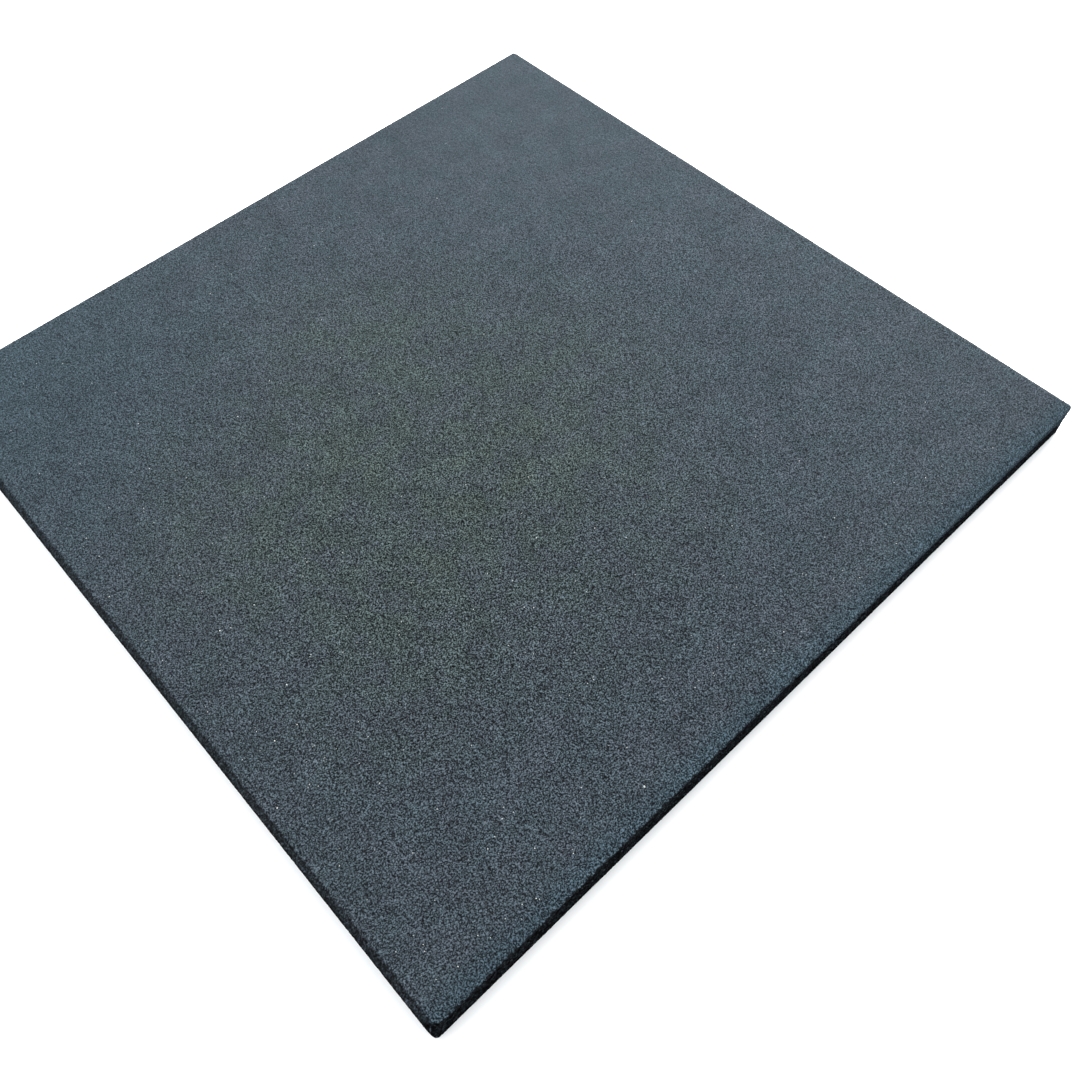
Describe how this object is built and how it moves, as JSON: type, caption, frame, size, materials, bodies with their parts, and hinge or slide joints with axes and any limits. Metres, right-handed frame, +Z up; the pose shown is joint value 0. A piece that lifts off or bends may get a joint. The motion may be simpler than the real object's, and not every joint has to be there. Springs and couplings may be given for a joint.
{
  "type": "rubber floor tile",
  "caption": "Square floor tile moulded from bonded black rubber crumb, with a grainy top, a bevelled top edge and upright walls.",
  "frame": {"origin": "middle of the flat underside", "axes": "+Z up through the thickness, towards the bevelled wearing face; X and Y square to the walls"},
  "size_m": [0.5, 0.5, 0.025],
  "materials": {
    "crumb_rubber": "matt bonded crumb, black with a grey bloom, coarse and pitted"
  },
  "bodies": {
    "root": {"rubber_tile": "crumb_rubber"}
  },
  "joints": []
}
